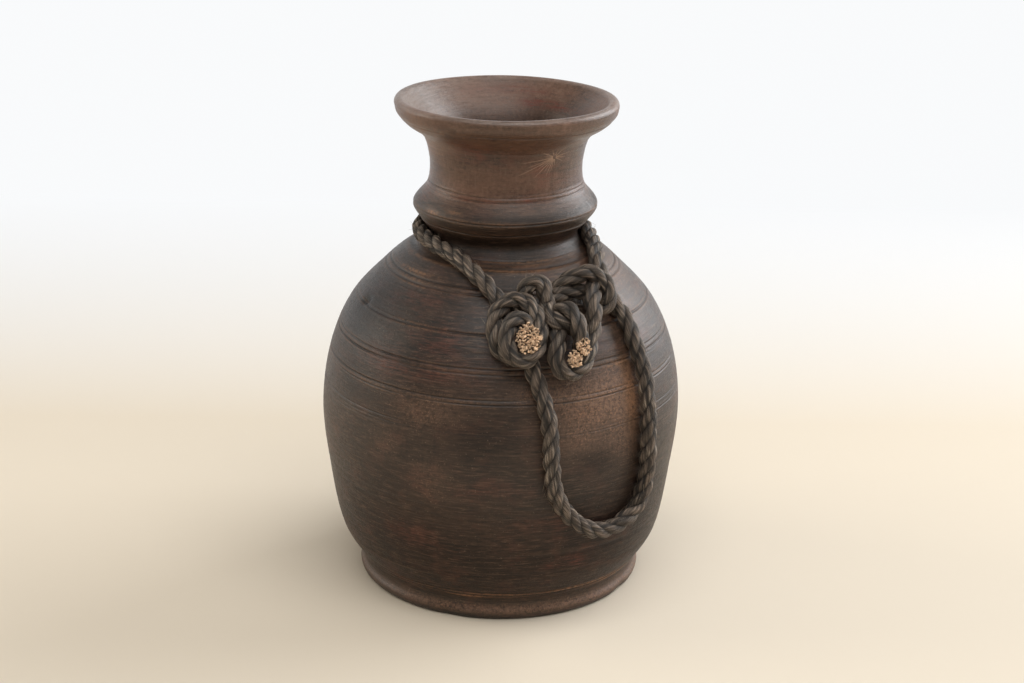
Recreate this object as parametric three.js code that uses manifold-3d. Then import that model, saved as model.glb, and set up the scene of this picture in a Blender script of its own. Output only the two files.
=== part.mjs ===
// A hand-turned wooden jar with a rope sling: millimetres, +Z up, standing on z = 0.
// The front is -Y. Azimuth 0 points to the front and grows towards +X, in degrees.
import * as THREE from 'three';
import { mergeVertices } from 'three/addons/utils/BufferGeometryUtils.js';
import Module from 'manifold-3d';

// The jar's outer wall, from the floor up. Each rise is counted from the station below it.
const FOOT_RADIUS = 87.4;
const FOOT_BEAD_RADIUS = 91.6;
const FOOT_BEAD_RISE = 5.2;
const FOOT_GROOVE_RADIUS = 89.8;
const FOOT_GROOVE_RISE = 6.0;
const LOWER_WALL_RADIUS = 103.0;
const LOWER_WALL_RISE = 22.6;
const MIDDLE_WALL_RADIUS = 111.4;
const MIDDLE_WALL_RISE = 43.3;
const BELLY_RADIUS = 115.0;
const BELLY_RISE = 40.5;
const UPPER_WALL_RADIUS = 109.6;
const UPPER_WALL_RISE = 36.1;
const SHOULDER_RADIUS = 96.9;
const SHOULDER_RISE = 28.8;
const SLOPE_RADIUS = 78.0;
const SLOPE_RISE = 21.1;
const NECK_ROOT_RADIUS = 61.7;
const NECK_ROOT_RISE = 14.3;
const NECK_FILLET_RADIUS = 52.4;
const NECK_FILLET_RISE = 3.9;
const HOLLOW_RADIUS = 46.6;
const HOLLOW_RISE = 7.2;
const COLLAR_STEP_RADIUS = 52.8;
const COLLAR_STEP_RISE = 9.6;
const COLLAR_RADIUS = 57.6;
const COLLAR_RISE = 8.4;
const COLLAR_TOP_RADIUS = 49.2;
const COLLAR_TOP_RISE = 11.8;
const NECK_RADIUS = 47.4;
const NECK_RISE = 7.2;
const UPPER_NECK_RADIUS = 47.8;
const UPPER_NECK_RISE = 11.5;
const FLARE_RADIUS = 52.0;
const FLARE_RISE = 13.1;
const LIP_UNDERSIDE_RADIUS = 65.0;
const LIP_UNDERSIDE_RISE = 9.9;
const LIP_RADIUS = 69.6;
const LIP_RISE = 9.1;

// The jar's thicknesses, its underside, and the angle through which the lip rounds over into the throat.
const LIP_ROUND = 3.4;
const LIP_TURN = 133;
const WALL = 10.0;
const NECK_WALL = 6.5;
const FLOOR = 16.0;
const FLOOR_CORNER = 20.0;
const STANDING_RING = 24.0;
const DISH_DEPTH = 2.5;
const DISH_EDGE = 2.0;

// The turned lines: how each is cut, and how far it lies above the station that it is measured from.
const LINE_DEPTH = 0.7;
const LINE_HALF_WIDTH = 0.9;
const FOOT_LINE_RISES = [7.2, 9.8];
const BELLY_LINE_RISES = [33.8, 36.5];
const UPPER_WALL_LINE_RISES = [14.7, 17.7];
const SHOULDER_LINE_RISES = [6.7];
const SLOPE_LINE_RISES = [4.3, 7.1];
const NECK_ROOT_LINE_RISES = [1.8];
const COLLAR_STEP_LINE_RISES = [0, 8.0];

// The rope: its thickness, and its clearances to the wood, to another strand and at a bend that moves.
const ROPE_DIAMETER = 11.0;
const ROPE_TO_WOOD = 0.5;
const ROPE_TO_ROPE = 0.4;
const BEND_CLEARANCE = 0.3;

// The two stopper knots: where they sit, the coil of each, and the cut end in its eye.
const KNOT_PITCH = 12.8;
const LEFT_KNOT_AZIMUTH = 3.6;
const LEFT_KNOT_DROP = 30.5;
const LEFT_KNOT_TURNS = 1;
const RIGHT_KNOT_AZIMUTH = 22.4;
const RIGHT_KNOT_DROP = 36.8;
const RIGHT_KNOT_TURNS = 1.5;
const CUT_END_LENGTH = 22.0;
const CUT_END_CROWN = 1.6;

// How finely the round shapes are cut.
const JAR_SEGMENTS = 48;
const PROFILE_STEPS = 3;
const CAVITY_STEPS = 2;
const ARC_STEPS = 6;
const FOOT_STEPS = 4;
const SAMPLES_PER_STEP = 20;
const STRAND_SIDES = 10;
const STRAND_STEP = 8.0;
const TIED_SIDES = 8;
const COIL_STEPS_PER_TURN = 24;
const BALL_SIDES = 12;
const BALL_RINGS = 8;

// How a tube's least gap to itself is measured: points a step, and the length that counts as one bend.
const GAP_POINTS_PER_STEP = 4;
const BEND_DIAMETERS = 2.5;

const ROPE_RADIUS = ROPE_DIAMETER / 2;
const ROPE_REST = ROPE_RADIUS + ROPE_TO_WOOD;
const KNOT_RADIUS = ROPE_DIAMETER + ROPE_TO_ROPE;

function material(name, color, roughness) {
  return new THREE.MeshStandardMaterial({ name, color, roughness, metalness: 0 });
}

const wood = material('smoked_wood', 0x3a2a22, 0.5);
const rope = material('old_rope', 0x3a332d, 0.95);
const fibre = material('cut_fibre', 0xb08a66, 1.0);

const wasm = await Module();
wasm.setup();

// The outer wall's stations as points of radius and height.
function stackStations(stations) {
  let height = 0;
  return stations.map(([radius, rise]) => {
    height += rise;
    return new THREE.Vector3(radius, height, 0);
  });
}

const outerStations = stackStations([
  [FOOT_BEAD_RADIUS, FOOT_BEAD_RISE],
  [FOOT_GROOVE_RADIUS, FOOT_GROOVE_RISE],
  [LOWER_WALL_RADIUS, LOWER_WALL_RISE],
  [MIDDLE_WALL_RADIUS, MIDDLE_WALL_RISE],
  [BELLY_RADIUS, BELLY_RISE],
  [UPPER_WALL_RADIUS, UPPER_WALL_RISE],
  [SHOULDER_RADIUS, SHOULDER_RISE],
  [SLOPE_RADIUS, SLOPE_RISE],
  [NECK_ROOT_RADIUS, NECK_ROOT_RISE],
  [NECK_FILLET_RADIUS, NECK_FILLET_RISE],
  [HOLLOW_RADIUS, HOLLOW_RISE],
  [COLLAR_STEP_RADIUS, COLLAR_STEP_RISE],
  [COLLAR_RADIUS, COLLAR_RISE],
  [COLLAR_TOP_RADIUS, COLLAR_TOP_RISE],
  [NECK_RADIUS, NECK_RISE],
  [UPPER_NECK_RADIUS, UPPER_NECK_RISE],
  [FLARE_RADIUS, FLARE_RISE],
  [LIP_UNDERSIDE_RADIUS, LIP_UNDERSIDE_RISE],
  [LIP_RADIUS, LIP_RISE],
]);
const [, footGroove, lowerWall, middleWall, belly, upperWall, shoulder, slope] = outerStations;
const [neckRoot, , hollow, collarStep, , , neck, upperNeck, flare, , lip] = outerStations.slice(8);

function smoothCurve(points) {
  return new THREE.CatmullRomCurve3(points, false, 'centripetal');
}

const outerCurve = smoothCurve(outerStations);

// The outward normal of the wall at a point, from the points before and after it on the way up.
function wallNormal(before, after) {
  return new THREE.Vector3(after.y - before.y, before.x - after.x, 0).normalize();
}

// The wall's surface, finely sampled, from which the turned lines and the rope take their places.
const surfaceSteps = PROFILE_STEPS * (outerStations.length - 1);
const surface = outerCurve.getPoints(SAMPLES_PER_STEP * surfaceSteps);

// The sample of the surface at a height, kept away from the two ends.
function sampleAt(height) {
  const found = surface.findIndex((point) => point.y >= height);
  return THREE.MathUtils.clamp(found, 1, surface.length - 2);
}

function normalAt(index) {
  return wallNormal(surface[index - 1], surface[index + 1]);
}

const turnedLines = [
  [footGroove, FOOT_LINE_RISES],
  [belly, BELLY_LINE_RISES],
  [upperWall, UPPER_WALL_LINE_RISES],
  [shoulder, SHOULDER_LINE_RISES],
  [slope, SLOPE_LINE_RISES],
  [neckRoot, NECK_ROOT_LINE_RISES],
  [collarStep, COLLAR_STEP_LINE_RISES],
].flatMap(([station, rises]) => rises.map((rise) => sampleAt(station.y + rise)));

// The outside of the jar: the wall's own points, with a shallow cut at each turned line.
function turnedOutline() {
  const lineWidth = 2 * LINE_HALF_WIDTH;
  const isClear = (point) => turnedLines.every((line) => surface[line].distanceTo(point) > lineWidth);
  const plain = surface
    .map((point, index) => ({ index, point }))
    .filter(({ index, point }) => index % SAMPLES_PER_STEP === 0 && isClear(point));
  const cuts = turnedLines.flatMap((index) => {
    const normal = normalAt(index);
    const along = new THREE.Vector3(-normal.y, normal.x, 0);
    const middle = surface[index];
    return [
      { index: index - 0.5, point: middle.clone().addScaledVector(along, -LINE_HALF_WIDTH) },
      { index, point: middle.clone().addScaledVector(normal, -LINE_DEPTH) },
      { index: index + 0.5, point: middle.clone().addScaledVector(along, LINE_HALF_WIDTH) },
    ];
  });
  return [...plain, ...cuts].sort((a, b) => a.index - b.index).map(({ point }) => point);
}

// The point of the cavity that lies one wall's thickness inside a station.
function insideOf(station, thickness) {
  const index = outerStations.indexOf(station);
  const normal = wallNormal(outerStations[index - 1], outerStations[index + 1]);
  return station.clone().addScaledVector(normal, -thickness);
}

// The jar's half section, from the axis under the floor, up the outside, over the lip and down the inside.
function jarProfile() {
  const dishRadius = FOOT_RADIUS - STANDING_RING;
  const beadReach = FOOT_BEAD_RADIUS - FOOT_RADIUS;
  const bead = new THREE.EllipseCurve(
    FOOT_RADIUS, FOOT_BEAD_RISE, beadReach, FOOT_BEAD_RISE, -Math.PI / 2, 0,
  );
  const base = [
    new THREE.Vector2(0, DISH_DEPTH),
    new THREE.Vector2(dishRadius - DISH_EDGE, DISH_DEPTH),
    new THREE.Vector2(dishRadius, 0),
    ...bead.getPoints(FOOT_STEPS).slice(0, -1),
  ];
  const lipTurn = THREE.MathUtils.degToRad(LIP_TURN);
  const lipArc = new THREE.EllipseCurve(lip.x - LIP_ROUND, lip.y, LIP_ROUND, LIP_ROUND, 0, lipTurn);
  const lipEnd = lipArc.getPoint(1);
  const innerEdge = new THREE.Vector3(lipEnd.x, lipEnd.y, 0);
  const throat = [flare, upperNeck, neck, hollow].map((station) => insideOf(station, NECK_WALL));
  const bellyStations = [neckRoot, slope, shoulder, upperWall, belly, middleWall, lowerWall];
  const cavity = [innerEdge, ...throat, ...bellyStations.map((station) => insideOf(station, WALL))];
  const inside = smoothCurve(cavity).getPoints(CAVITY_STEPS * (cavity.length - 1));
  const wallFoot = inside[inside.length - 1];
  const floorEdge = new THREE.Vector2(wallFoot.x - FLOOR_CORNER, FLOOR);
  const corner = new THREE.QuadraticBezierCurve(
    new THREE.Vector2(wallFoot.x, wallFoot.y),
    new THREE.Vector2(wallFoot.x, FLOOR),
    floorEdge,
  );
  return [
    ...base,
    ...turnedOutline().map((point) => new THREE.Vector2(point.x, point.y)),
    ...lipArc.getPoints(ARC_STEPS).slice(1, -1),
    ...inside.map((point) => new THREE.Vector2(point.x, point.y)),
    ...corner.getPoints(ARC_STEPS).slice(1),
    new THREE.Vector2(0, FLOOR),
  ];
}

function jarGeometry() {
  const geometry = new THREE.LatheGeometry(jarProfile(), JAR_SEGMENTS);
  geometry.rotateX(Math.PI / 2);
  return geometry;
}

// The wood's point and outward normal at an azimuth and a height above the neck's root.
function woodAt(azimuth, height) {
  const index = sampleAt(neckRoot.y + height);
  const normal = normalAt(index);
  const turn = THREE.MathUtils.degToRad(azimuth);
  const outward = new THREE.Vector3(Math.sin(turn), -Math.cos(turn), 0);
  const radius = surface[index].x;
  return {
    point: outward.clone().multiplyScalar(radius).setZ(surface[index].y),
    normal: outward.clone().multiplyScalar(normal.x).setZ(normal.y),
    across: new THREE.Vector3(Math.cos(turn), Math.sin(turn), 0),
  };
}

// The middle of a strand over the wood: lift is 0 where it rests on the wood.
function strandPoint([azimuth, height, lift]) {
  const place = woodAt(azimuth, height);
  return place.point.addScaledVector(place.normal, ROPE_REST + lift);
}

// Strand routes, chosen by hand: azimuth, height above the neck's root, and lift off the wood.
const LEFT_BEND = [-4.2, -13.0, 0];
const RIGHT_BEND = [51.5, -13.0, 0];
const LEFT_LOOP_END = [9.5, -45.6, 0];
const RIGHT_LOOP_END = [49.8, -45.6, 0];

const NECK_ROUTE = [
  LEFT_BEND, [-8.8, -7.4, 0], [-14.3, -2.6, 0], [-20.8, 0.4, 0.1], [-30.5, 2.3, 0.2], [-44.1, 5, 0.3],
  [-58.9, 6.8, 0.3], [-74, 7, 0.3], [-90, 7, 0.3], [-106, 7, 0.3], [-125, 7, 0.3], [-145, 7, 0.3],
  [-165, 7, 0.3], [-185, 7, 0.3], [-205, 7, 0.3], [-225, 7, 0.3], [-245, 7, 0.3], [-258, 6.8, 0.3],
  [-268, 5.6, 0.3], [-278, 3.2, 0.2], [-288, 1.6, 0.1], [-297, 0, 0], [-303, -3, 0], [-306.6, -8, 0],
  RIGHT_BEND,
];
const RIGHT_STRAND_ROUTE = [
  RIGHT_BEND, [49.6, -18.6, 0], [49.4, -23.9, 0], [50.4, -29, 0], [50.3, -34.6, 0], [49.9, -40.5, 0],
  RIGHT_LOOP_END,
];
const LOOP_ROUTE = [
  LEFT_LOOP_END, [11.8, -58, 0], [13.7, -71.3, 0], [14.5, -82.2, 0], [14.7, -94.3, 0], [15, -104.9, 0],
  [15.7, -116.4, 0], [17.5, -125.5, 0], [20.8, -136, 0], [25.2, -144.9, 0], [30.9, -151.1, 0],
  [36.2, -152.5, 0], [41.6, -149.7, 0], [46.4, -144.1, 0], [48.5, -134.6, 0], [49.2, -122.1, 0],
  [49.2, -108.6, 0], [49.1, -95.3, 0], [49.5, -85.2, 0], [49.5, -74.7, 0], [50, -64.8, 0], [50, -57, 0],
  RIGHT_LOOP_END,
];
const CROSS_ROUTE = [
  [4.3, -13.3, 0.5], [6.4, -12, 2.1], [9.4, -11, 4.6], [12.9, -10.8, 5.4], [15.8, -13, 5],
  [17.2, -17.4, 3.4], [17.9, -21.6, 1.2], [18.1, -25, 0],
];
const HITCH_ROUTE = [
  [25.5, -10, 10.3], [29, -9.4, 11], [33.5, -9.2, 11.6], [39.3, -10, 11.8], [43.6, -13.4, 12],
  [45.2, -18.2, 11.5], [44, -22.4, 8], [41.5, -23.6, 3.5], [39, -22, 0.6], [36.8, -19, 0],
  [33.5, -16.2, 0], [29.5, -14.9, 0], [26, -14.6, 0], [23.2, -14.9, 0],
];
const RIGHT_LEAD_ROUTE = [
  [36.8, -15.2, 12.2], [34.8, -19, 12], [33.4, -22.6, 8.5], [32.6, -26, 3.5], [32.2, -29, 0.5],
];

// A closed tube of the rope's thickness along a curve.
function tubeGeometry(curve, steps, sides) {
  const corners = Array.from({ length: sides }, (_, index) => {
    const angle = (2 * Math.PI * index) / sides;
    return new THREE.Vector2(ROPE_RADIUS * Math.cos(angle), ROPE_RADIUS * Math.sin(angle));
  });
  const section = new THREE.Shape(corners);
  return new THREE.ExtrudeGeometry(section, { extrudePath: curve, steps, bevelEnabled: false });
}

function toSolid(geometry) {
  const bare = geometry.clone();
  bare.deleteAttribute('normal');
  bare.deleteAttribute('uv');
  const merged = mergeVertices(bare);
  return new wasm.Manifold(new wasm.Mesh({
    numProp: 3,
    vertProperties: new Float32Array(merged.attributes.position.array),
    triVerts: new Uint32Array(merged.index.array),
  }));
}

function toGeometry(solid) {
  const mesh = solid.getMesh();
  const geometry = new THREE.BufferGeometry();
  geometry.setAttribute('position', new THREE.BufferAttribute(mesh.vertProperties, 3));
  geometry.setIndex(new THREE.BufferAttribute(mesh.triVerts, 1));
  geometry.computeVertexNormals();
  return geometry;
}

// A tube with a round end of its own thickness at each point where it bends on a neighbour.
function roundEnded(geometry, centres) {
  let solid = toSolid(geometry);
  for (const centre of centres) {
    const ball = new THREE.SphereGeometry(ROPE_RADIUS, BALL_SIDES, BALL_RINGS);
    ball.translate(centre.x, centre.y, centre.z);
    solid = solid.add(toSolid(ball));
  }
  return toGeometry(solid);
}

// A strand's curve without the lengths at its ends that make room for a neighbour's round end.
function shortened(curve, startLength, endLength, steps) {
  const length = curve.getLength();
  const points = Array.from({ length: steps + 1 }, (_, index) => {
    const along = startLength + ((length - startLength - endLength) * index) / steps;
    return curve.getPointAt(along / length);
  });
  return smoothCurve(points);
}

// A knot's coil round its axis, clockwise seen from outside, rising off the wood by the pitch.
function coilPoints(place, startAngle, turns) {
  const upward = new THREE.Vector3().crossVectors(place.normal, place.across);
  const count = Math.round(turns * COIL_STEPS_PER_TURN);
  return Array.from({ length: count + 1 }, (_, index) => {
    const turned = (turns * index) / count;
    const angle = THREE.MathUtils.degToRad(startAngle) - 2 * Math.PI * turned;
    return place.point.clone()
      .addScaledVector(place.across, KNOT_RADIUS * Math.cos(angle))
      .addScaledVector(upward, KNOT_RADIUS * Math.sin(angle))
      .addScaledVector(place.normal, ROPE_REST + KNOT_PITCH * turned);
  });
}

// The points of a straight run, one rope's thickness long, on from the last two points of a coil.
function straightRun(points) {
  const [before, last] = points.slice(-2);
  const direction = last.clone().sub(before).normalize();
  return [0.5, 1].map((share) => last.clone().addScaledVector(direction, share * ROPE_DIAMETER));
}

// The least gap between stretches of one tube that lie more than a bend apart along it.
function leastSelfGap(points) {
  const bendLength = BEND_DIAMETERS * ROPE_DIAMETER;
  const along = [0];
  for (let index = 1; index < points.length; index += 1) {
    along.push(along[index - 1] + points[index].distanceTo(points[index - 1]));
  }
  let least = Infinity;
  for (let first = 0; first < points.length; first += 1) {
    for (let second = first + 1; second < points.length; second += 1) {
      if (along[second] - along[first] > bendLength) {
        least = Math.min(least, points[first].distanceTo(points[second]));
      }
    }
  }
  return least - ROPE_DIAMETER;
}

function part(name, geometry, material) {
  const mesh = new THREE.Mesh(geometry, material);
  mesh.name = name;
  return mesh;
}

// A tied piece of rope: one tube with the fine steps of a coil, whose gap to itself is measured.
function tiedTube(name, points, balls) {
  const curve = smoothCurve(points);
  const stepLength = (2 * Math.PI * KNOT_RADIUS) / COIL_STEPS_PER_TURN;
  const steps = Math.round(curve.getLength() / stepLength);
  const gap = leastSelfGap(curve.getSpacedPoints(GAP_POINTS_PER_STEP * steps));
  console.log(`${name}: least gap to itself ${gap.toFixed(2)} mm`);
  const tube = tubeGeometry(curve, steps, TIED_SIDES);
  return part(name, balls.length ? roundEnded(tube, balls) : tube, rope);
}

const leftPlace = woodAt(LEFT_KNOT_AZIMUTH, -LEFT_KNOT_DROP);
const rightPlace = woodAt(RIGHT_KNOT_AZIMUTH, -RIGHT_KNOT_DROP);

// The angle at which a strand that comes straight from a point meets a knot's coil, turning clockwise.
function entryAngle(place, point) {
  const upward = new THREE.Vector3().crossVectors(place.normal, place.across);
  const offset = point.clone().sub(place.point);
  const right = offset.dot(place.across);
  const up = offset.dot(upward);
  const bearing = Math.atan2(up, right) - Math.acos(KNOT_RADIUS / Math.hypot(right, up));
  return THREE.MathUtils.radToDeg(bearing);
}

// The left knot takes the neck rope's left end over its top, and its tail goes down beside the right knot.
function leftKnot() {
  const bend = strandPoint(LEFT_BEND);
  const entry = entryAngle(leftPlace, bend);
  const coil = coilPoints(leftPlace, entry, LEFT_KNOT_TURNS + entry / 360);
  const middle = bend.clone().lerp(coil[0], 0.5);
  return tiedTube('left_knot', [bend, middle, ...coil, ...straightRun(coil)], [bend]);
}

// The right knot's strand comes from under the hitch, and its tail goes up beside the left knot.
function rightKnot() {
  const lead = RIGHT_LEAD_ROUTE.map(strandPoint);
  const entry = entryAngle(rightPlace, lead[lead.length - 1]);
  const coil = coilPoints(rightPlace, entry, RIGHT_KNOT_TURNS + entry / 360);
  return tiedTube('right_knot', [...lead, ...coil, ...straightRun(coil)], []);
}

// The rope's cut end stands in the eye of its knot, with a crowned face of loose fibre.
function cutEnd(name, place) {
  const radius = KNOT_RADIUS - ROPE_RADIUS - ROPE_TO_ROPE;
  const shoulderHeight = CUT_END_LENGTH - CUT_END_CROWN;
  const crown = new THREE.EllipseCurve(0, shoulderHeight, radius, CUT_END_CROWN, 0, Math.PI / 2);
  const profile = [new THREE.Vector2(0, 0), new THREE.Vector2(radius, 0), ...crown.getPoints(ARC_STEPS)];
  profile[profile.length - 1].x = 0;
  const mesh = part(name, new THREE.LatheGeometry(profile, STRAND_SIDES), fibre);
  mesh.quaternion.setFromUnitVectors(new THREE.Vector3(0, 1, 0), place.normal);
  mesh.position.copy(place.point).addScaledVector(place.normal, ROPE_TO_WOOD);
  return mesh;
}

// A lying strand, cut back where a neighbour's round end turns, and round where it turns itself.
function strand(name, route, { startCut = 0, endCut = 0, balls = [] }) {
  const curve = smoothCurve(route.map(strandPoint));
  const steps = Math.round(curve.getLength() / STRAND_STEP);
  const tube = tubeGeometry(shortened(curve, startCut, endCut, steps), steps, STRAND_SIDES);
  return part(name, balls.length ? roundEnded(tube, balls.map(strandPoint)) : tube, rope);
}

const bendRoom = ROPE_RADIUS + BEND_CLEARANCE;

const group = new THREE.Group();
group.add(part('jar_body', jarGeometry(), wood));
group.add(strand('neck_rope', NECK_ROUTE, { startCut: bendRoom, endCut: bendRoom }));
group.add(leftKnot());
group.add(cutEnd('left_cut_end', leftPlace));
group.add(rightKnot());
group.add(cutEnd('right_cut_end', rightPlace));
group.add(tiedTube('cross_strand', CROSS_ROUTE.map(strandPoint), []));
group.add(tiedTube('hitch_turn', HITCH_ROUTE.map(strandPoint), []));
group.add(strand('right_strand', RIGHT_STRAND_ROUTE, { endCut: bendRoom, balls: [RIGHT_BEND] }));
group.add(strand('carry_loop', LOOP_ROUTE, { balls: [LEFT_LOOP_END, RIGHT_LOOP_END] }));

// The lines that the sling's two bends turn about, through the round ends of their strands.
group.userData.bendLines = {
  knots: [strandPoint(LEFT_BEND), strandPoint(RIGHT_BEND)],
  loop: [strandPoint(LEFT_LOOP_END), strandPoint(RIGHT_LOOP_END)],
};

export default group;
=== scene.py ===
"""A hand-turned wooden jar with a knotted rope sling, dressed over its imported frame.

The front is -Y and +Z is up. Lengths are written in millimetres and become metres in the
meshes; the stage and the lamps are in metres.
"""
import math
import random

import bmesh
import bpy
import numpy as np
from mathutils import Matrix, Vector


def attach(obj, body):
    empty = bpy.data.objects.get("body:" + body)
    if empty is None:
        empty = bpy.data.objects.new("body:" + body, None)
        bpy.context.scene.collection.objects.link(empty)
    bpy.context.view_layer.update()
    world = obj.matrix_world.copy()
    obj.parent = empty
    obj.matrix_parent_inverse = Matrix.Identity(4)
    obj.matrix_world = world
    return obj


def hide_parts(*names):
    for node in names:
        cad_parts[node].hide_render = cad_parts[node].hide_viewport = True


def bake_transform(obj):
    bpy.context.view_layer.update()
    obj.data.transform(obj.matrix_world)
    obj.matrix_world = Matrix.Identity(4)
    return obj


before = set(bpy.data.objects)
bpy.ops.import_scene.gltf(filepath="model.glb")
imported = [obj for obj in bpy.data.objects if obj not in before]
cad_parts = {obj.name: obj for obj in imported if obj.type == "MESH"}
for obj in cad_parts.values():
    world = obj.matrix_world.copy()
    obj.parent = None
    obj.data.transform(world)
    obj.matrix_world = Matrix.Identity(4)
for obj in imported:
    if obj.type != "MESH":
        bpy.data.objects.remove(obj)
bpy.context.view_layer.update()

MM = 0.001

# Camera: its place, its angles in degrees, and its focal length in the photograph's pixels
CAMERA_POSITION = (0, -1207.8, 573.5)
CAMERA_YAW = 0.324
CAMERA_PITCH = 19.187
CAMERA_ROLL = 0.802
FOCAL_PIXELS = 1987.4
IMAGE_WIDTH = 1024
SENSOR_WIDTH = 36

# Jar outline: radius at the foot, then each station's radius and its rise over the one below
FOOT_RADIUS = 87.4
FOOT_BEAD = (91.6, 5.2)
FOOT_GROOVE = (89.8, 6)
LOWER_WALL = (103, 22.6)
MIDDLE_WALL = (111.4, 43.3)
BELLY = (115, 40.5)
UPPER_WALL = (109.6, 36.1)
SHOULDER = (96.9, 28.8)
SLOPE = (78, 21.1)
NECK_ROOT = (61.7, 14.3)
NECK_FILLET = (52.4, 3.9)
HOLLOW = (46.6, 7.2)
COLLAR_STEP = (52.8, 9.6)
COLLAR = (57.6, 8.4)
COLLAR_TOP = (49.2, 11.8)
NECK = (47.4, 7.2)
UPPER_NECK = (47.8, 11.5)
FLARE = (52, 13.1)
LIP_UNDERSIDE = (65, 9.9)
LIP = (69.6, 9.1)
STATIONS = (
    FOOT_BEAD, FOOT_GROOVE, LOWER_WALL, MIDDLE_WALL, BELLY, UPPER_WALL, SHOULDER, SLOPE, NECK_ROOT,
    NECK_FILLET, HOLLOW, COLLAR_STEP, COLLAR, COLLAR_TOP, NECK, UPPER_NECK, FLARE, LIP_UNDERSIDE,
    LIP)
THROAT = (FLARE, UPPER_NECK, NECK, HOLLOW)
CAVITY = (NECK_ROOT, SLOPE, SHOULDER, UPPER_WALL, BELLY, MIDDLE_WALL, LOWER_WALL)
LIP_ROUND = 3.4
LIP_TURN = 133
WALL = 10
NECK_WALL = 6.5
FLOOR = 16
FLOOR_CORNER = 20
STANDING_RING = 24
DISH_DEPTH = 2.5
DISH_EDGE = 2
WALL_STEPS = 40
HOLLOW_STEPS = 14
CORNER_STEPS = 10

# Rope
ROPE_REST = 5.2
ROPE_LAY = 33
STRAND_RADIUS = 3.3
STRAND_OFFSET = 2.2
YARNS = 11
YARN_DEPTH = 0.5
SUNK_YARN = 0.35
YARN_TONES = 97
TONES_APART = 31
# Distance in metres between the strands' places in the fibre pattern
STRANDS_APART = 0.05
# Share of its colour that the rope keeps in its grooves and between its yarns, where shade is
# painted, and in dull yarns
GROOVE_KEEPS = 0.12
YARN_KEEPS = 0.03
DULL_KEEPS = 0.08
ROPE_SEED = 5
ROPE_STEP = 0.9
ROUTE_STEPS = 14
ROPE_SIDES = 90
# Direction that a rope's first ring is set by
FIRST_SIDE = (0.3, 0.2, 1)

# Rope routes: azimuth in degrees from the front, height over the neck root, lift off the wood
RIGHT_BEND = (51.5, -13, 0)
LEFT_LOOP_END = (9.5, -45.6, 0)
RIGHT_LOOP_END = (49.8, -45.6, 0)
LEFT_TUCK = ((2.2, -21.8, -1), (-0.1, -17.1, -0.5))
NECK_ROUTE = (
    (-2.4, -12.9, 0), (-7.2, -7.2, 0), (-14.3, -2.6, 0), (-20.8, 0.4, 0.1), (-30.5, 2.3, 0.2),
    (-44.1, 5, 0.2), (-58.9, 7, 0), (-74, 8, 0), (-90, 8, 0), (-106, 8, 0), (-125, 8, 0),
    (-145, 8, 0), (-165, 8, 0), (-185, 8, 0), (-205, 8, 0), (-225, 8, 0), (-245, 8, 0),
    (-258, 7.4, -0.4), (-268, 5.6, -0.4), (-278, 3.2, -0.2), (-288, 1.6, 0), (-297, 0, 0),
    (-303, -3, 0), (-306.6, -8, 0))
RIGHT_STRAND_ROUTE = (
    RIGHT_BEND, (49.6, -18.6, 0), (49.4, -23.9, 0), (50.4, -29, 0), (50.3, -34.6, 0),
    (49.9, -40.5, 0))
LOOP_ROUTE = (
    LEFT_LOOP_END, (11.8, -58, 0), (13.7, -71.3, 0), (14.5, -82.2, 0), (14.7, -94.3, 0),
    (15, -104.9, 0), (15.7, -116.4, 0), (17.5, -125.5, 0), (20.8, -136, 0), (25.2, -144.9, 0),
    (30.9, -151.1, 0), (36.2, -152.5, 0), (41.6, -149.7, 0), (46.4, -144.1, 0), (48.5, -134.6, 0),
    (49.2, -122.1, 0), (49.2, -108.6, 0), (49.1, -95.3, 0), (49.5, -85.2, 0), (49.5, -74.7, 0),
    (50, -64.8, 0), (50, -57, 0), RIGHT_LOOP_END)
LOOP_TUCK = ((8.7, -39.5, -0.5), (7.6, -33.5, -1))
CROSS_ROUTE = (
    (5.7, -20.7, 0.4), (7.6, -16.5, 1.3), (9.2, -13.1, 3.2), (10, -10.9, 6.2), (12.2, -9.8, 8.6),
    (14.9, -9.9, 9.4), (16.6, -11.8, 8.8), (17.2, -15.3, 7), (17.5, -18.8, 5), (17.3, -23.2, 7),
    (17.9, -27, 9.5), (20.3, -28.7, 9.5), (23.7, -29, 6), (26.7, -30.4, 2))
HITCH_ROUTE = (
    (22.8, -12.2, 1.2), (25.8, -10.4, 5), (29.8, -9.3, 9), (33.5, -9.4, 12), (37.5, -10, 13),
    (40.3, -12.2, 13.5), (42.1, -15.6, 13), (42.5, -19.1, 11.5), (42, -21.9, 8.5), (41, -23.5, 5),
    (39.2, -23.2, 2), (38.1, -19.9, 1), (37.3, -14.8, 1.4), (33.6, -13.6, 2.2), (28.6, -13.7, 2.8),
    (24.3, -14, 2.6), (21.4, -14.9, 1.4), (19.3, -16.2, 0.6))

# Knots: centre on the wood as azimuth and height over the neck root; each point of a knot's
# route is its distance to the right of that centre, along the wood upward, and off the wood
LEFT_KNOT = (3.6, -30.5)
LEFT_KNOT_ROUTE = (
    (0, -13, 5), (-4.5, -10.4, 5), (-8.9, -4.8, 6), (-9.8, 3.1, 7.5), (-8.6, 11, 9),
    (-3.9, 16.8, 11.5), (2.9, 18.9, 13.5), (9.2, 14.4, 14.5), (13.1, 6.5, 15), (14.1, -1.8, 15),
    (12.5, -9.3, 15), (8.1, -14.5, 15.5), (2, -15.1, 16.5), (-2.3, -11, 17.5), (-3.5, -5.1, 18),
    (-2.2, 0.6, 18.5), (1.8, 4.5, 18.5), (6.2, 4.5, 16.5), (8.8, 1.3, 13.5), (9.3, -2.2, 10))
LEFT_CUT = (7.6, -5.6, 20)
LEFT_CUT_SIZE = (6.5, 8)
RIGHT_KNOT = (22.4, -36.8)
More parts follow.
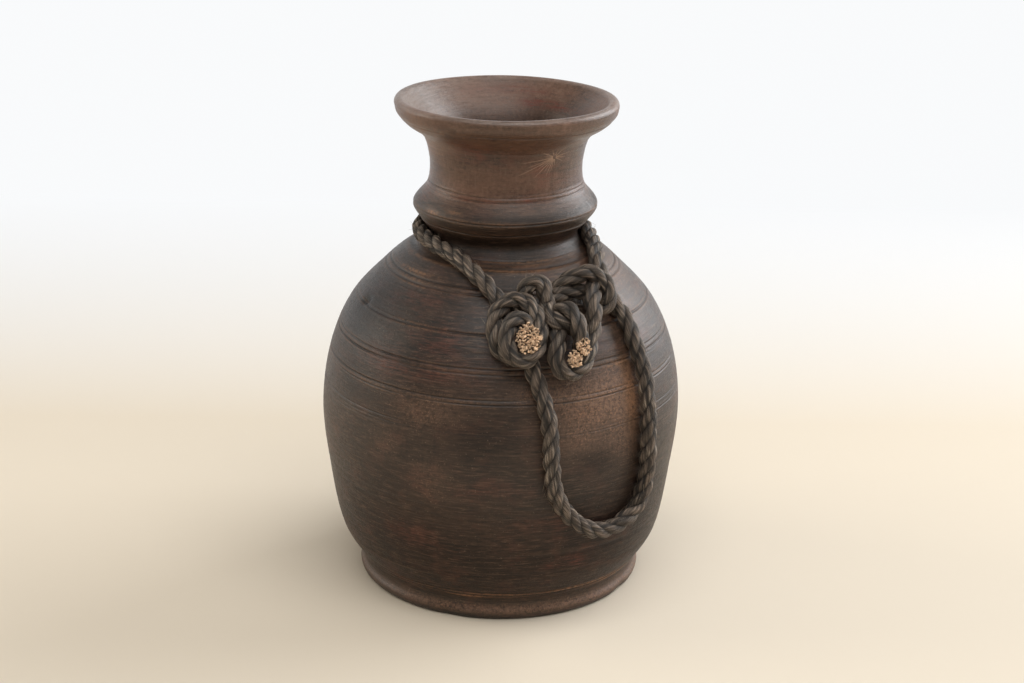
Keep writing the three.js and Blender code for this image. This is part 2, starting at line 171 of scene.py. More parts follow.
RIGHT_KNOT_ROUTE = (
    (27.2, 34.6, 11), (23.6, 31, 13), (19.3, 24.3, 15.5), (16.8, 18, 16), (16.3, 12.7, 14.5),
    (16, 8, 12), (14.3, 2.7, 10), (11.6, -3.3, 9), (9, -9.3, 9), (3.7, -14.1, 9.5),
    (-2.6, -15.5, 10.5), (-7.8, -13.8, 11.5), (-10.2, -9.2, 12.5), (-9.3, -3.7, 13.5),
    (-7.5, 1.3, 13), (-5.8, 7.1, 10.5), (-4.8, 12.9, 8.5), (-3.9, 16.8, 11), (-2, 17.4, 16),
    (0.8, 15.3, 19), (2.6, 9.9, 20), (3.2, 4.4, 19), (4, 0.5, 15.5), (5.3, -3.2, 11))
RIGHT_CUTS = ((3.6, -3.4, 19.4), (-1.8, -9, 18))
RIGHT_CUT_SIZE = (3.9, 4.8)

# Where the sling bends, as the distance from the turning axis towards the knots, and as a height
KNOT_BEND = (66, 76)
LOOP_BEND = (182, 168)
SLING_OUTWARD = (0.401, -0.916, 0)


def stack_stations():
    """Radius and height of each station of the wall."""
    heights = np.cumsum([rise for _, rise in STATIONS])
    return np.array([(radius, height) for (radius, _), height in zip(STATIONS, heights)])


def smooth_curve(points, steps):
    """Centripetal Catmull-Rom curve through the points, with a number of steps to each."""
    points = np.asarray(points, dtype=float)
    ends = [2 * points[0] - points[1]], [2 * points[-1] - points[-2]]
    padded = np.concatenate([ends[0], points, ends[1]])
    share = np.linspace(0, 1, steps, endpoint=False)[:, None]
    runs = []
    for a, b, c, d in zip(padded, padded[1:], padded[2:], padded[3:]):
        t1 = math.sqrt(np.linalg.norm(b - a))
        t2 = t1 + math.sqrt(np.linalg.norm(c - b))
        t3 = t2 + math.sqrt(np.linalg.norm(d - c))
        t = t1 + share * (t2 - t1)
        ab = (t1 - t) / t1 * a + t / t1 * b
        bc = (t2 - t) / (t2 - t1) * b + (t - t1) / (t2 - t1) * c
        cd = (t3 - t) / (t3 - t2) * c + (t - t2) / (t3 - t2) * d
        abc = (t2 - t) / t2 * ab + t / t2 * bc
        bcd = (t3 - t) / (t3 - t1) * bc + (t - t1) / (t3 - t1) * cd
        runs.append((t2 - t) / (t2 - t1) * abc + (t - t1) / (t2 - t1) * bcd)
    return np.concatenate(runs + [points[-1:]])


def lengths_along(points):
    """Distance of each point from the first, along the line."""
    steps = np.linalg.norm(np.diff(points, axis=0), axis=1)
    return np.concatenate([[0], np.cumsum(steps)])


def unit(vectors):
    """Vectors brought to a length of 1."""
    return vectors / np.linalg.norm(vectors, axis=-1, keepdims=True)


def station_height(station):
    """Height of a station of the wall."""
    return STATION_POINTS[STATIONS.index(station)][1]


STATION_POINTS = stack_stations()
WALL_LINE = smooth_curve(STATION_POINTS, WALL_STEPS)
WALL_ARC = lengths_along(WALL_LINE)
WALL_SLOPE = unit(np.gradient(WALL_LINE, axis=0))
WALL_COLUMNS = (*WALL_LINE.T, WALL_SLOPE[:, 1], -WALL_SLOPE[:, 0])
ROOT_HEIGHT = station_height(NECK_ROOT)
LIP_HEIGHT = station_height(LIP)


def wall_at(arc):
    """Radius, height and outward normal of the plain wall at a distance along its outline."""
    return tuple(np.interp(arc, WALL_ARC, column) for column in WALL_COLUMNS)


def arc_at(height):
    """Distance along the outline at a height."""
    return np.interp(height, WALL_LINE[:, 1], WALL_ARC)


def over_wood(azimuth, arc, off):
    """Point at an azimuth and a distance along the outline, some way off the wood."""
    radius, height, out, rise = wall_at(arc)
    reach = radius + off * out
    angle = math.radians(azimuth)
    return np.array([reach * math.sin(angle), -reach * math.cos(angle), height + off * rise])


def strand_point(azimuth, height, lift):
    """Middle of the rope where it lies on the wood, lifted by a given amount."""
    return over_wood(azimuth, arc_at(ROOT_HEIGHT + height), ROPE_REST + lift)


def knot_point(knot, across, upward, off):
    """Point of a knot from its distances to the knot's centre on the wood."""
    azimuth, height = knot
    arc = arc_at(ROOT_HEIGHT + height) + upward
    radius = wall_at(arc)[0]
    return over_wood(azimuth + math.degrees(across / radius), arc, off)


def make_camera():
    """Camera at the photograph's place and angle."""
    yaw = math.radians(CAMERA_YAW)
    pitch = math.radians(CAMERA_PITCH)
    roll = math.radians(CAMERA_ROLL)
    flat = math.cos(pitch)
    forward = Vector((math.sin(yaw) * flat, math.cos(yaw) * flat, -math.sin(pitch)))
    level = forward.cross(Vector((0, 0, 1))).normalized()
    above = level.cross(forward)
    right = level * math.cos(roll) + above * math.sin(roll)
    up = above * math.cos(roll) - level * math.sin(roll)
    place = Matrix((right, up, -forward)).transposed().to_4x4()
    place.translation = Vector(CAMERA_POSITION) * MM
    lens = bpy.data.cameras.new("photo_camera")
    lens.sensor_width = SENSOR_WIDTH
    lens.lens = FOCAL_PIXELS * SENSOR_WIDTH / IMAGE_WIDTH
    camera = bpy.data.objects.new("photo_camera", lens)
    camera.matrix_world = place
    bpy.context.collection.objects.link(camera)
    bpy.context.scene.camera = camera


# Shader helpers
def set_inputs(tree, node, inputs):
    """Set a node's inputs to values, or link them to sockets."""
    for name, value in inputs.items():
        if isinstance(value, bpy.types.NodeSocket):
            tree.links.new(value, node.inputs[name])
        else:
            node.inputs[name].default_value = value


def add_node(tree, kind, inputs=None, **settings):
    """New node with its settings, and its inputs set to values or linked to sockets."""
    made = tree.nodes.new(kind)
    for name, value in settings.items():
        setattr(made, name, value)
    set_inputs(tree, made, inputs or {})
    return made


def noise(tree, coords, scale, detail, roughness):
    """Noise over coordinates that are first stretched by a scale along each axis."""
    stretched = add_node(tree, "ShaderNodeMapping", {"Vector": coords, "Scale": scale})
    texture = add_node(tree, "ShaderNodeTexNoise", {
        "Vector": stretched.outputs[0], "Scale": 1.0, "Detail": detail, "Roughness": roughness})
    return texture.outputs[0]


def remap(tree, value, low, high, to_low=0.0, to_high=1.0):
    """Value brought from one range to another, clamped."""
    made = add_node(tree, "ShaderNodeMapRange", {
        "Value": value, "From Min": low, "From Max": high, "To Min": to_low, "To Max": to_high})
    return made.outputs[0]


def math_node(tree, operation, first, second):
    """Sum, product or other operation on two values."""
    return add_node(tree, "ShaderNodeMath", {0: first, 1: second}, operation=operation).outputs[0]


def times(tree, first, second):
    """Product of two values."""
    return math_node(tree, "MULTIPLY", first, second)


def bump(tree, height, strength, depth):
    """Direction of a surface whose height varies, with its depth in metres."""
    made = add_node(tree, "ShaderNodeBump", {
        "Height": height, "Strength": strength, "Distance": depth})
    return made.outputs[0]


def mix(tree, factor, first, second):
    """Colour between two colours."""
    made = add_node(tree, "ShaderNodeMix", {0: factor, 6: first, 7: second}, data_type="RGBA")
    return made.outputs[2]


def attribute(tree, name):
    """Value that the mesh holds at each point."""
    return add_node(tree, "ShaderNodeAttribute", attribute_name=name).outputs["Fac"]


def new_material(name):
    """New node material, with its tree, its shader and the object's coordinates."""
    material = bpy.data.materials.new(name)
    material.use_nodes = True
    tree = material.node_tree
    coords = add_node(tree, "ShaderNodeTexCoord").outputs["Object"]
    return material, tree, tree.nodes["Principled BSDF"], coords


# Wood: each pattern's scale along the axes, detail and roughness
WOOD_PATTERNS = {
    "cloud": ((13, 13, 26), 7, 0.62),
    "rings": ((9, 9, 480), 6, 0.72),
    "streaks": ((420, 420, 14), 4, 0.6),
    "blots": ((48, 48, 70), 6, 0.65),
    "grain": ((430, 430, 520), 5, 0.7),
    "dashes": ((110, 110, 1100), 5, 0.7),
    "flecks": ((1000, 1000, 1000), 2, 0.5),
}
# Colours of the wood, each with full cover, in the order in which they are laid
SMOKE = (0.016, 0.0094, 0.006, 1)
BROWN = (0.05, 0.0272, 0.0162, 1)
LOW_COAT = (0.019, 0.0098, 0.0056, 1)
NECK_COAT = (0.2, 0.106, 0.07, 1)
SCRAPED = (0.26, 0.16, 0.112, 1)
PALE_RING = (0.098, 0.06, 0.04, 1)
DARK_RING = (0.0125, 0.0082, 0.006, 1)
RED_BLOT = (0.098, 0.04, 0.025, 1)
PALE_DASH = (0.135, 0.078, 0.05, 1)
DARK_DASH = (0.0092, 0.0062, 0.0046, 1)
# Pale dust, and painted light on the mouth's inner face towards the right lamp and on the lip's top
# edge
DUST_AND_LIGHT = (0.27, 0.218, 0.19, 1)
WORN_RED = (0.165, 0.046, 0.028, 1)
# Pale worn grain and rubbed flecks; in the pale marks they also paint the sheen on the right
# shoulder and the highlight on the foot bead
WORN_PALE_AND_HIGHLIGHT = (0.2, 0.116, 0.076, 1)
RUBBED_AND_HIGHLIGHT = (0.38, 0.18, 0.092, 1)
# Soot, and painted shade: in the dents, on the upper left shoulder and down inside the jar
SOOT_AND_SHADE = (0.0115, 0.0096, 0.0088, 1)
DARK_STREAK = (0.0105, 0.0074, 0.0058, 1)
PALE_FLECK = (0.26, 0.185, 0.13, 1)
# Painted shade in the turned grooves
GROOVE_SHADE = (0.0058, 0.0042, 0.0036, 1)
WORN_TAN = (0.31, 0.155, 0.078, 1)
SCRATCH = (0.5, 0.31, 0.205, 1)


def wood_colour(tree, patterns):
    """Smoked coats of the wood, with its lathe lines, worn places, dirt, painted shade and painted
    highlights laid over them.
    """
    cloud, rings, streaks, blots, grain, dashes, flecks = patterns.values()
    upper = attribute(tree, "neck")
    pale = attribute(tree, "pale")
    calm = remap(tree, upper, 0, 1, 1, 0.4)
    mottled = math_node(tree, "ADD", cloud, times(tree, grain, 0.6))
    broken = times(tree, remap(tree, blots, 0.36, 0.58), remap(tree, dashes, 0.4, 0.56))
    coats = (
        (times(tree, attribute(tree, "low"), 0.75), LOW_COAT),
        (times(tree, upper, remap(tree, mottled, 0.64, 0.94, 0.2, 1)), NECK_COAT),
        (times(tree, upper, remap(tree, streaks, 0.44, 0.28, 0, 0.5)), SCRAPED),
        (remap(tree, rings, 0.5, 0.7, 0, 0.5), PALE_RING),
        (times(tree, calm, remap(tree, rings, 0.46, 0.3, 0, 0.7)), DARK_RING),
        (remap(tree, blots, 0.53, 0.7, 0, 0.55), RED_BLOT),
        (remap(tree, dashes, 0.53, 0.66, 0, 0.6), PALE_DASH),
        (times(tree, calm, remap(tree, dashes, 0.47, 0.34, 0, 0.75)), DARK_DASH),
        (times(tree, attribute(tree, "dust_and_light"), remap(tree, dashes, 0.36, 0.58, 0.35, 1)), DUST_AND_LIGHT),
        (times(tree, attribute(tree, "red"), broken), WORN_RED),
        (times(tree, pale, remap(tree, grain, 0.32, 0.64)), WORN_PALE_AND_HIGHLIGHT),
        (times(tree, pale, remap(tree, flecks, 0.54, 0.7, 0, 0.6)), RUBBED_AND_HIGHLIGHT),
        (attribute(tree, "soot_and_shade"), SOOT_AND_SHADE),
        (remap(tree, streaks, 0.58, 0.76, 0, 0.4), DARK_STREAK),
        (remap(tree, flecks, 0.66, 0.76, 0, 0.4), PALE_FLECK),
        (attribute(tree, "groove_shade"), GROOVE_SHADE),
        (times(tree, attribute(tree, "tan"), remap(tree, grain, 0.38, 0.58)), WORN_TAN),
        (attribute(tree, "scratch"), SCRATCH),
    )
    colour = mix(tree, remap(tree, cloud, 0.36, 0.64), SMOKE, BROWN)
    for share, coat in coats:
        colour = mix(tree, share, colour, coat)
    return colour


def wood_material():
    """Smoked and oiled wood: dark brown, with lathe lines, worn grain and rubbed places."""
    material, tree, shader, coords = new_material("smoked_wood")
    patterns = {name: noise(tree, coords, *settings) for name, settings in WOOD_PATTERNS.items()}
    rough = remap(tree, patterns["cloud"], 0.35, 0.65, 0.37, 0.48)
    rough = math_node(tree, "ADD", rough, remap(tree, patterns["grain"], 0.45, 0.75, 0, 0.18))
    rough = math_node(tree, "SUBTRACT", rough, times(tree, attribute(tree, "neck"), 0.08))
    gloss = remap(tree, attribute(tree, "low"), 0, 1, 0.5, 0.22)
    gloss = times(tree, gloss, remap(tree, attribute(tree, "soot_and_shade"), 0, 1, 1, 0.4))
    grained = times(tree, math_node(tree, "ADD", patterns["grain"], patterns["dashes"]), 0.5)
    relief = math_node(tree, "ADD", times(tree, patterns["rings"], 0.9), grained)
    set_inputs(tree, shader, {
        "Base Color": wood_colour(tree, patterns), "Roughness": rough, "Specular IOR Level": gloss,
        "Normal": bump(tree, relief, 0.35, 0.0009)})
    return material


# Colours of the rope, its cut ends and its stray hairs
# Painted shade between the rope's strands and yarns
SHADE_BETWEEN_YARNS = (0.0065, 0.0049, 0.0038, 1)
DARK_FIBRE = (0.024, 0.0175, 0.013, 1)
PALE_FIBRE = (0.43, 0.316, 0.232, 1)
# Pale worn fibre, which also paints glints of light on the crowns
WORN_FIBRE_AND_GLINT = (0.62, 0.51, 0.4, 1)
# Painted shade between the chips of a cut end
SHADE_BETWEEN_CHIPS = (0.016, 0.0105, 0.0075, 1)
PALE_CHIP = (0.92, 0.645, 0.425, 1)
STAINED_CHIP = (0.3, 0.17, 0.095, 1)
DARK_HAIR = (0.12, 0.09, 0.066, 1)
PALE_HAIR = (0.42, 0.33, 0.245, 1)


def rope_material():
    """Old dark rope: brown yarns with painted shade between them, and paler worn fibres with
    painted glints on their crowns.
    """
    material, tree, shader, coords = new_material("old_rope")
    along = add_node(tree, "ShaderNodeCombineXYZ", {
        "X": attribute(tree, "across"), "Y": attribute(tree, "along")}).outputs[0]
    fibres = noise(tree, along, (1100, 90, 1), 5, 0.7)
    strays = noise(tree, along, (650, 60, 1), 3, 0.5)
    patches = noise(tree, coords, (60, 60, 60), 4, 0.6)
    relief = attribute(tree, "relief")
    fibre = mix(tree, remap(tree, fibres, 0.36, 0.62), DARK_FIBRE, PALE_FIBRE)
    colour = mix(tree, relief, SHADE_BETWEEN_YARNS, fibre)
    # Worn fibres on the crowns, paler, also standing in for glints of light
    worn = times(tree, remap(tree, patches, 0.42, 0.6), remap(tree, strays, 0.52, 0.6))
    colour = mix(tree, times(tree, worn, relief), colour, WORN_FIBRE_AND_GLINT)
    set_inputs(tree, shader, {
        "Base Color": colour, "Roughness": 0.62, "Normal": bump(tree, fibres, 0.9, 0.0009)})
    return material


def fibre_material():
    """Pale torn fibre of the cut ends, with painted shade between the chips."""
    material, tree, shader, coords = new_material("cut_fibre")
    flecks = noise(tree, coords, (700, 700, 700), 4, 0.6)
    colour = mix(tree, attribute(tree, "tone"), SHADE_BETWEEN_CHIPS, PALE_CHIP)
    colour = mix(tree, remap(tree, flecks, 0.46, 0.3, 0, 0.6), colour, STAINED_CHIP)
    set_inputs(tree, shader, {
        "Base Color": colour, "Roughness": 0.9, "Normal": bump(tree, flecks, 0.7, 0.0005)})
    return material


def hair_material():
    """Stray rope fibres, straw brown."""
    material, tree, shader, coords = new_material("rope_hair")
    tint = noise(tree, coords, (300, 300, 300), 2, 0.5)
    colour = mix(tree, remap(tree, tint, 0.4, 0.6), DARK_HAIR, PALE_HAIR)
    set_inputs(tree, shader, {"Base Color": colour, "Roughness": 0.7})
    return material


# Mesh helpers
def mesh_piece(name, points, faces, material, values=None, smooth=True):
    """Object from points in millimetres, with named values at its points."""
    mesh = bpy.data.meshes.new(name)
    mesh.from_pydata((np.asarray(points) * MM).tolist(), [], faces)
    mesh.polygons.foreach_set("use_smooth", [smooth] * len(mesh.polygons))
    for key, numbers in (values or {}).items():
        held = mesh.attributes.new(key, "FLOAT", "POINT")
        held.data.foreach_set("value", np.asarray(numbers, dtype=np.float32).ravel())
    mesh.materials.append(material)
    piece = bpy.data.objects.new(name, mesh)
    bpy.context.collection.objects.link(piece)
    return piece


def ring_faces(rings, sides):
    """Quads between stacked rings, with a flat cap on the first and last."""
    faces = []
    for row in range(rings - 1):
        low = row * sides
        high = low + sides
        for side in range(sides):
            beside = (side + 1) % sides
            faces.append((low + side, low + beside, high + beside, high + side))
    top = (rings - 1) * sides
    faces.append(tuple(range(sides - 1, -1, -1)))
    faces.append(tuple(range(top, top + sides)))
    return faces


def smoothstep(value, low, high):
    """Smooth rise from 0 at the low end of a range to 1 at its high end."""
    share = np.clip((value - low) / (high - low), 0, 1)
    return share * share * (3 - 2 * share)


# Jar
# Turned lines: station, rise over it, depth and half width
GROOVES = (
    (FOOT_GROOVE, 7.2, 0.6, 0.5), (FOOT_GROOVE, 9.8, 0.5, 0.45), (BELLY, 13.9, 0.24, 0.4),
    (BELLY, 16, 0.24, 0.4), (BELLY, 18.6, 0.26, 0.4), (BELLY, 33.8, 0.6, 0.45),
    (BELLY, 36.5, 0.55, 0.45), (UPPER_WALL, 14.7, 0.6, 0.5), (UPPER_WALL, 17.7, 0.55, 0.45),
    (SHOULDER, 6.7, 0.6, 0.5), (SLOPE, 4.3, 0.6, 0.5), (SLOPE, 7.1, 0.55, 0.45),
    (NECK_ROOT, 1.8, 0.55, 0.5), (NECK_FILLET, 1, 0.3, 0.4), (COLLAR_STEP, 0, 0.6, 0.5),
    (COLLAR_STEP, 8, 0.6, 0.5), (COLLAR_TOP, 0.2, 0.4, 0.4), (COLLAR_TOP, 2.5, 0.4, 0.4),
    (LIP_UNDERSIDE, 1.6, 0.3, 0.45))
FAINT_LINES = 46
FAINT_RANGE = (26, 300)
FAINT_DEPTH = (0.05, 0.14)
FAINT_WIDTH = (0.7, 1.1)
# Ridge beside a turned line: its distance in half widths, and its rise as a share of the depth
RIDGE_PLACE = 2.1
RIDGE_RISE = 0.15
GROOVE_WANDER = 0.35
JAR_SEED = 11
JAR_SIDES = 360
ROW_STEP = 1.1
FINE_STEP = 0.25
FINE_REACH = 2.1
FINE_DEPTH = 0.2
LEAST_RISE = 0.15
LEAST_ANGLE = 0.1
# Surface that a ring of the jar is on; the inside and the underside are inner
ON_WALL = 1
ON_LIP = 0.5
INNER = 0
CENTRE_RADIUS = 3
DISH_RINGS = 8
STANDING_RINGS = 6
BEAD_RINGS = 7
LIP_RINGS = 15
FLOOR_RINGS = (0.75, 0.5, 0.25, 0.05)
LEAN = 1.5
LEAN_RANGE = (222, 246)
RIM_TILT = 0.5
RIM_RANGE = (288, 313)
SWAY_RANGE = (2, 20)
LIP_SWAY = 0.4
LIP_SWAY_RANGE = (296, LIP_HEIGHT)
# Heights over which a coat or a shade comes in or goes
NECK_COAT_RANGE = (250, 262)
LOW_COAT_RANGE = (35, 130)
FOOT_COAT_RANGE = (6, 30)
MOUTH_RANGE = (272, 310)
MOUTH_SHADE_RANGE = (286, 307)
DEEP_RANGE = (255, 282)
# Lip's top edge, with pale dust and a painted highlight: height and half height
LIP_EDGE = (LIP_HEIGHT + 2.6, 1.4)
# Roll under the lip: height and half height
LIP_ROLL = (305.5, 2.6)
LIP_ROLL_PUSH = 0.8
# Scratches on the neck: the point that they spread from, and each one's bearing and length
STAR = (36.6, 285)
STAR_ARMS = (
    (204, 27), (224, 18), (249, 13), (186, 22), (197, 19), (157, 11), (170, 8), (213, 15),
    (236, 12), (40, 8), (-7, 9), (8, 12), (-27, 9), (75, 5), (-77, 6), (120, 6), (262, 9))
STAR_REACH = (28, 14)
STAR_WIDTH = 0.24
STAR_DEPTH = 0.22
STAR_STEP = 0.3
# Marks: azimuth, height, half width, half height, amount
DENTS = (
    (87.7, 251.7, 5, 3, 1.8), (78, 247.5, 4, 2.2, 0.9), (-68.3, 190.9, 4.5, 2.2, 2),
    (-140, 120, 9, 6, 0.7), (150, 180, 8, 5, 0.8), (-20, 2.5, 7, 3, 0.7), (60, 3, 6, 3, 0.8))
RED_MARKS = (
    (-16.5, 284, 20, 9, 0.8), (30, 268, 18, 5, 0.6), (33, 279, 14, 6, 0.9),
    (-48, 198, 40, 10, 0.45), (-28, 180, 46, 9, 0.45), (26.4, 44.3, 7, 4, 0.9),
    (18.1, 42.2, 6, 3, 0.8), (31.5, 53.1, 6, 3, 0.8), (11.8, 259.4, 26, 1.4, 0.9),
    (-30, 259, 14, 1.4, 0.7), (-70, 262, 16, 8, 0.6), (-35, 165, 40, 6, 0.5),
    (-14, 100, 32, 10, 0.35), (-30, 62, 32, 10, 0.3), (20, 70, 30, 8, 0.35), (120, 200, 20, 9, 0.6),
    (170, 285, 18, 12, 0.7), (-130, 60, 10, 8, 0.7), (150, 120, 22, 12, 0.4))
INSIDE_RED_MARKS = (
    (152, 298.6, 16, 2.2, 3), (128, 298, 10, 2, 2), (168, 306, 16, 2.2, 0.9),
    (205, 306, 16, 2, 0.7), (140, 306, 12, 2, 0.9), (150, 288, 20, 6, 0.5))
TAN_MARKS = (
    (-51.6, 248.7, 5, 1.2, 0.9), (-34.5, 251.2, 6, 0.8, 0.6), (36, 19.6, 22, 0.9, 1.5),
    (2, 18.9, 36, 0.6, 0.9), (52, 16.6, 22, 0.8, 1.3), (-12, 16.4, 12, 0.7, 0.9),
    (100, 20, 30, 0.7, 0.8), (-120, 19, 36, 0.7, 0.7), (160, 248, 14, 1.6, 0.8),
    (0, 219, 50, 0.35, 0.6), (10, 222, 44, 0.35, 0.5), (-52, 213, 20, 0.6, 0.6),
    (45.5, 147, 5, 15, 0.7), (42, 167, 9, 1.6, 0.6))
# Pale worn patches; the one at 75 degrees on the right shoulder paints a sheen, and the bands round
# the foot bead paint its highlight with pale specks
PALE_AND_HIGHLIGHT_MARKS = (
    (43, 146, 20, 18, 1), (28, 152, 24, 14, 0.8), (25, 132, 16, 14, 0.6), (40, 118, 14, 12, 0.5),
    (-23.8, 143.9, 24, 12, 0.5), (-21.5, 101.6, 16, 16, 0.3), (10.8, 156.8, 16, 6, 0.5),
    (-37.4, 120.7, 12, 10, 0.3), (52, 192, 20, 12, 0.5), (130, 140, 30, 18, 0.6),
    (-150, 150, 30, 14, 0.6), (-10, 7.5, 90, 2.6, 0.9), (60, 6.5, 60, 2.6, 0.8),
    (170, 7.5, 120, 2, 0.6), (75, 208, 30, 8, 0.5))
# Dark smoky patches; the wide one at -62 degrees on the upper left shoulder is painted shade
SOOT_AND_SHADE_MARKS = (
    (10, 250, 42, 1.8, 0.7), (20, 226, 60, 4, 0.2), (3, 212, 22, 4, 0.6), (30, 112, 16, 8, 0.5),
    (50, 75, 45, 38, 0.5), (-6, 130, 22, 14, 0.5), (-55, 150, 20, 12, 0.4),
    (-62, 190, 50, 28, 0.85), (-120, 226, 90, 4, 0.35), (160, 226, 90, 4, 0.35))


def turned_lines():
    """Height, depth and half width of the clear grooves, and of faint tool lines between them."""
    clear = [(station_height(station) + rise, depth, width)
             for station, rise, depth, width in GROOVES]
    draw = random.Random(JAR_SEED)
    faint = [(draw.uniform(*FAINT_RANGE), draw.uniform(*FAINT_DEPTH), draw.uniform(*FAINT_WIDTH))
             for _ in range(FAINT_LINES)]
    return clear + faint


def row_heights(lines):
    """Heights of the wall's rings, close together at the turned lines and the scratches."""
    lowest = station_height(FOOT_BEAD)
    heights = list(np.arange(lowest, LIP_HEIGHT, ROW_STEP))
    for height, depth, _ in lines:
        if depth > FINE_DEPTH:
            heights += list(np.arange(height - FINE_REACH, height + FINE_REACH, FINE_STEP))
    heights += list(np.arange(STAR[1] - STAR_REACH[1], STAR[1] + STAR_REACH[1], STAR_STEP))
    ordered = np.unique(np.round(heights, 2))
    inside = ordered[(ordered > lowest) & (ordered < LIP_HEIGHT)]
    keep = np.concatenate([[True], np.diff(inside) > LEAST_RISE])
    return inside[keep]


def side_angles():
    """Azimuths of the jar's sides, closer together at the scratches on the neck."""
    even = np.linspace(-180, 180, JAR_SIDES, endpoint=False)
    spread = math.degrees(STAR_REACH[0] / NECK[0])
    close = np.arange(STAR[0] - spread, STAR[0] + spread, math.degrees(STAR_STEP / NECK[0]))
    ordered = np.unique(np.round(np.concatenate([even, close]), 3))
    keep = np.concatenate([[True], np.diff(ordered) > LEAST_ANGLE])
    return ordered[keep]


def inside_of(station, thickness):
    """Point of the hollow one thickness inside a station of the outline."""
    index = STATIONS.index(station)
    slope = unit(STATION_POINTS[index + 1] - STATION_POINTS[index - 1])
    return STATION_POINTS[index] + thickness * np.array([-slope[1], slope[0]])


def cavity_line():
    """Radius and height along the hollow, from the lip down to the edge of its floor."""
    turn = math.radians(LIP_TURN)
    points = [(LIP[0] - LIP_ROUND * (1 - math.cos(turn)), LIP_HEIGHT + LIP_ROUND * math.sin(turn))]
    points += [inside_of(station, NECK_WALL) for station in THROAT]
    points += [inside_of(station, WALL) for station in CAVITY]
    wall = smooth_curve(points, HOLLOW_STEPS)
    foot = wall[-1]
    below = np.array([foot[0], FLOOR])
    edge = below - (FLOOR_CORNER, 0)
    share = np.linspace(0, 1, CORNER_STEPS)[1:, None]
    corner = (1 - share) ** 2 * foot + 2 * share * (1 - share) * below + share ** 2 * edge
    return np.concatenate([wall, corner])


def jar_profile(lines):
    """Radius, height and outward normal of each ring, and the surface that it is on."""
    rows = []
    ring_inner = FOOT_RADIUS - STANDING_RING
    for radius in np.linspace(CENTRE_RADIUS, ring_inner - DISH_EDGE, DISH_RINGS):
        rows.append((radius, DISH_DEPTH, 0, -1, INNER))
    for radius in np.linspace(ring_inner, FOOT_RADIUS, STANDING_RINGS):
        rows.append((radius, 0, 0, -1, INNER))
    bead_radius, bead_height = STATION_POINTS[0]
    for turn in np.linspace(0.15, 1, BEAD_RINGS):
        angle = turn * math.pi / 2
        rows.append((FOOT_RADIUS + (bead_radius - FOOT_RADIUS) * math.sin(angle),
                     bead_height * (1 - math.cos(angle)),
                     math.sin(angle), -math.cos(angle), ON_WALL))
    wall = wall_at(arc_at(row_heights(lines)))
    rows += [row + (ON_WALL,) for row in zip(*wall)]
    middle = LIP[0] - LIP_ROUND
    for angle in np.linspace(0, math.radians(LIP_TURN), LIP_RINGS):
        rows.append((middle + LIP_ROUND * math.cos(angle), LIP_HEIGHT + LIP_ROUND * math.sin(angle),
                     math.cos(angle), math.sin(angle), ON_LIP))
    hollow = cavity_line()[1:]
    rows += [(radius, height, -1, 0, INNER) for radius, height in hollow]
    rows += [(hollow[-1][0] * share, FLOOR, 0, 1, INNER) for share in FLOOR_RINGS]
    return np.array(rows)


def mark_field(marks, azimuth, height, radius):
    """Soft spots at given places on the wall, added up."""
    total = np.zeros(np.broadcast(azimuth, height).shape)
    for place, level, half_width, half_height, amount in marks:
        across = np.radians((azimuth - place + 180) % 360 - 180) * radius / half_width
        total += amount * np.exp(-across ** 2 - ((height - level) / half_height) ** 2)
    return total


def star_field(azimuth, height):
    """How far each point lies in a scratch that spreads from one point of the neck, 0 to 1."""
    across = np.radians(azimuth - STAR[0]) * NECK[0]
    upward = height - STAR[1]
    field = np.zeros(np.broadcast(azimuth, height).shape)
    for bearing, length in STAR_ARMS:
        angle = math.radians(bearing)
        along = across * math.cos(angle) + upward * math.sin(angle)
        beside = upward * math.cos(angle) - across * math.sin(angle)
        taper = np.clip(1 - along / length, 0, 1) ** 0.6 * (along > 1.2)
        field = np.maximum(field, taper * np.exp(-(beside / STAR_WIDTH) ** 2))
    return field


def cut_lines(lines, level, angle):
    """Push of the turned lines off the plain wall, their shade, and the worn ridges beside them."""
    cut = np.zeros(np.broadcast(level, angle).shape)
    shade = np.zeros_like(cut)
    ridge = np.zeros_like(cut)
    for place, depth, width in lines:
        offset = (level - place) / width
        uneven = 0.75 + 0.35 * np.sin(2 * angle + place) + 0.2 * np.sin(7 * angle + 3 * place)
        uneven = np.clip(uneven, 0.15, 1)
        dip = np.exp(-offset ** 2)
        side = np.exp(-(offset - RIDGE_PLACE) ** 2) + np.exp(-(offset + RIDGE_PLACE) ** 2)
        cut -= depth * uneven * (dip - RIDGE_RISE * side)
        shade = np.maximum(shade, np.clip(depth * 1.3, 0, 0.9) * dip * uneven)
        ridge += np.clip(depth - 0.25, 0, 1) * side
    return cut, shade, ridge


def band(height, level, half_height):
    """Soft band round the jar at a level."""
    return np.exp(-((height - level) / half_height) ** 2)


def shape_jar(lines, profile, azimuth):
    """Points of the jar's rings, and the shade, ridges, scratches and dents at each point."""
    radius, height, out, rise, surface = (column[:, None] for column in profile.T)
    angle = np.radians(azimuth)
    wander = GROOVE_WANDER * (np.sin(angle + 0.7) + 0.5 * np.sin(3 * angle + 2.1))
    cut, shade, ridge = cut_lines(lines, height + wander, angle)
    star = star_field(azimuth, height)
    dents = mark_field(DENTS, azimuth, height, radius)
    sway = 0.35 * np.sin(2 * angle + height / 60) + 0.22 * np.sin(5 * angle - height / 23)
    sway = sway * smoothstep(height, *SWAY_RANGE)
    lip_sway = LIP_SWAY * sway * smoothstep(height, *LIP_SWAY_RANGE)
    roll = LIP_ROLL_PUSH * band(height, *LIP_ROLL)
    push = np.where(surface == ON_WALL, cut - STAR_DEPTH * star - dents + sway + roll, lip_sway)

    reach = radius + push * out
    across = reach * np.sin(angle) + LEAN * smoothstep(height, *LEAN_RANGE)
    depth = -reach * np.cos(angle)
    tilt = across * math.tan(math.radians(RIM_TILT)) * smoothstep(height, *RIM_RANGE)
    points = np.stack([across, depth, height + push * rise - tilt], axis=-1)
    return points, shade, ridge, star, dents


